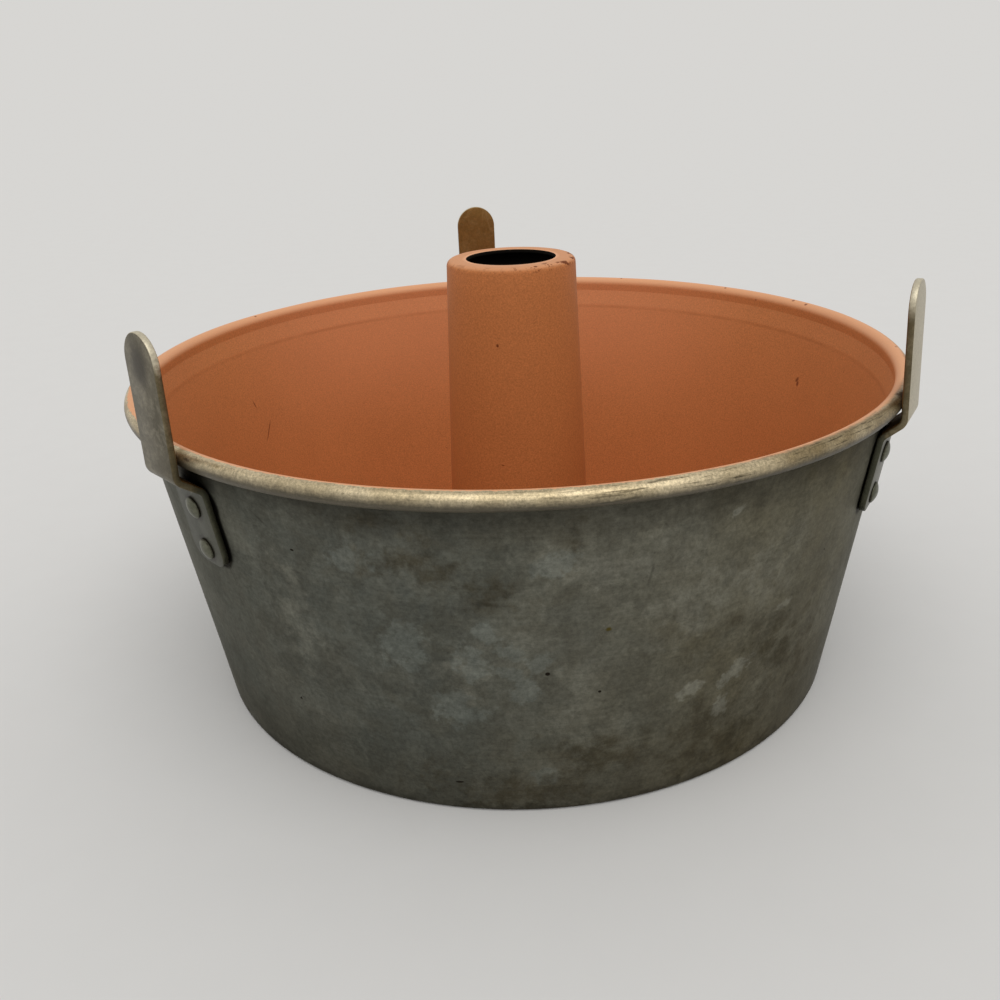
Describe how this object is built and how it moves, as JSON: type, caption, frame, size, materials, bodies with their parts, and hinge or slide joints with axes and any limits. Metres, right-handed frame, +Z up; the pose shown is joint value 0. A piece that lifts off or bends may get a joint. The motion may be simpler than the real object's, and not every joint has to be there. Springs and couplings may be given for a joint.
{
  "type": "angel food cake pan",
  "caption": "Round tapered tube pan with a rolled rim, riveted cooling feet above the rim, and a loose floor with an open centre tube that lifts out.",
  "frame": {"origin": "on the table under the pan, on the axis of its tube", "axes": "+Z up along the tube, +Y towards the rear foot, +X to the right"},
  "size_m": [0.2542, 0.2563, 0.1374],
  "materials": {
    "pan_aluminium": "bare outside, dulled and stained by the oven; matte terracotta non-stick coating inside",
    "coated_aluminium": "matte terracotta non-stick coating",
    "foot_aluminium": "dull bare strap with pale worn edges",
    "rivet_aluminium": "bare, burnished on the crowns"
  },
  "bodies": {
    "pan": {"pan_wall": "pan_aluminium", "rear_foot": "foot_aluminium", "left_foot": "foot_aluminium", "right_foot": "foot_aluminium", "rivet_rear_upper": "rivet_aluminium", "rivet_rear_lower": "rivet_aluminium", "rivet_left_upper": "rivet_aluminium", "rivet_left_lower": "rivet_aluminium", "rivet_right_upper": "rivet_aluminium", "rivet_right_lower": "rivet_aluminium"},
    "insert": {"base_plate": "coated_aluminium", "centre_tube": "coated_aluminium"}
  },
  "joints": [
    {"name": "insert_lift", "type": "slide", "parent": "pan", "child": "insert", "axis": [0, 0, 1], "range_m": [0, 0.14]}
  ]
}
